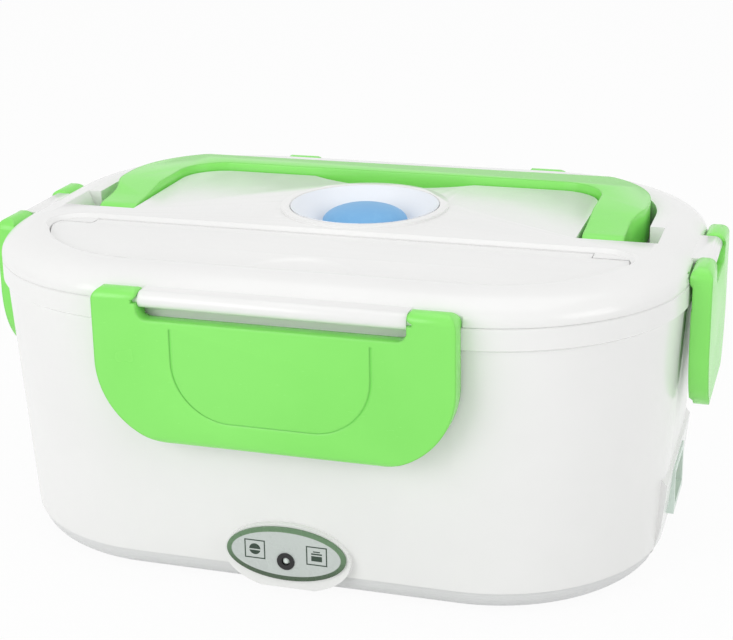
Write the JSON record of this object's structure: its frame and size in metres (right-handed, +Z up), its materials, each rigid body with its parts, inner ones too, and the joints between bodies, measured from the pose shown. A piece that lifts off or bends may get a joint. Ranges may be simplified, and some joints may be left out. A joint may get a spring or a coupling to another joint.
{
  "type": "electric lunch box",
  "caption": "Electric heated lunch box with a lift-off latched lid, fold-flat carrying handle, steam vent, spoon compartment, food container and side dish.",
  "frame": {"origin": "centre of the overall footprint, on the plane the rubber feet rest on", "axes": "+Z up, -Y the front with the indicator plate and the spoon cover's round edge, +X towards the side with the inlet socket"},
  "size_m": [0.2348, 0.1728, 0.1032],
  "materials": {
    "white_plastic": "glossy injection-moulded",
    "cover_plastic": "fine satin texture",
    "green_plastic": "glossy injection-moulded",
    "inner_plastic": "satin food-grade polypropylene",
    "mint_plastic": "semi-gloss",
    "plate_green": "printed plate under a clear skin",
    "blue_silicone": "soft satin silicone",
    "bowl_plastic": "translucent blue-white",
    "seal_silicone": "soft matte silicone",
    "foot_rubber": "matte",
    "black_plastic": "fine matte",
    "aluminium": "brushed",
    "steel": "brushed",
    "zinc_steel": "zinc plated",
    "brass_pins": "polished",
    "heater_film": "insulating film",
    "wire_skin": "soft sheath",
    "board_green": "solder mask",
    "lamp_clear": "clear"
  },
  "bodies": {
    "base": {"outer_body": "white_plastic", "bottom_cover": "cover_plastic", "rubber_feet": "foot_rubber", "cover_screws": "zinc_steel", "inner_tub": "inner_plastic", "heater_seal": "seal_silicone", "heater_plate": "aluminium", "ptc_heater": "heater_film", "heater_clamp": "steel", "clamp_screws": "zinc_steel", "thermal_fuse": "heater_film", "power_inlet": "mint_plastic", "inlet_pins": "brass_pins", "lead_wires": "wire_skin", "indicator_plate": "plate_green", "led_ring": "black_plastic", "led_lamp": "lamp_clear", "led_board": "board_green"},
    "lid_body": {"lid": "white_plastic", "lid_liner": "inner_plastic", "lid_gasket": "seal_silicone", "vent_bowl": "bowl_plastic"},
    "spoon_cover_body": {"spoon_cover": "white_plastic"},
    "spoon_body": {"spoon": "inner_plastic"},
    "handle_body": {"carry_handle": "green_plastic", "handle_pins": "steel"},
    "steam_plug": {"vent_plug": "blue_silicone"},
    "front_latch": {"latch_front": "green_plastic"},
    "back_latch": {"latch_back": "green_plastic"},
    "left_latch": {"latch_left": "green_plastic"},
    "right_latch": {"latch_right": "green_plastic"},
    "container_body": {"food_container": "inner_plastic"},
    "dish_body": {"side_dish": "inner_plastic"}
  },
  "joints": [
    {"name": "lid_lift", "type": "slide", "parent": "base", "child": "lid_body", "axis": [0, 0, 1], "range_m": [0, 0.15]},
    {"name": "front_latch_hinge", "type": "hinge", "parent": "lid_body", "child": "front_latch", "pos_m": [0, -0.083, 0.0943], "axis": [-1, 0, 0], "range_deg": [0, 100]},
    {"name": "back_latch_hinge", "type": "hinge", "parent": "lid_body", "child": "back_latch", "pos_m": [0, 0.083, 0.0943], "axis": [1, 0, 0], "range_deg": [0, 100]},
    {"name": "left_latch_hinge", "type": "hinge", "parent": "lid_body", "child": "left_latch", "pos_m": [-0.114, 0, 0.0943], "axis": [0, 1, 0], "range_deg": [0, 100]},
    {"name": "right_latch_hinge", "type": "hinge", "parent": "lid_body", "child": "right_latch", "pos_m": [0.114, 0, 0.0943], "axis": [0, -1, 0], "range_deg": [0, 100]},
    {"name": "handle_hinge", "type": "hinge", "parent": "lid_body", "child": "handle_body", "pos_m": [0, -0.0048, 0.0944], "axis": [1, 0, 0], "range_deg": [0, 90]},
    {"name": "spoon_cover_hinge", "type": "hinge", "parent": "lid_body", "child": "spoon_cover_body", "pos_m": [0, -0.0242, 0.0976], "axis": [-1, 0, 0], "range_deg": [0, 85]},
    {"name": "spoon_lift", "type": "slide", "parent": "lid_body", "child": "spoon_body", "axis": [0, 0, 1], "range_m": [0, 0.018]},
    {"name": "steam_plug_lift", "type": "slide", "parent": "lid_body", "child": "steam_plug", "axis": [0, 0, 1], "range_m": [0, 0.006]},
    {"name": "container_lift", "type": "slide", "parent": "base", "child": "container_body", "axis": [0, 0, 1], "range_m": [0, 0.075]},
    {"name": "dish_lift", "type": "slide", "parent": "container_body", "child": "dish_body", "axis": [0, 0, 1], "range_m": [0, 0.045]}
  ],
  "couplings": [
    {"joint": "spoon_lift", "follows": "spoon_cover_hinge", "m_per_rad": 0.012},
    {"joint": "container_lift", "follows": "lid_lift", "ratio": 0.5},
    {"joint": "dish_lift", "follows": "lid_lift", "ratio": 0.3}
  ]
}
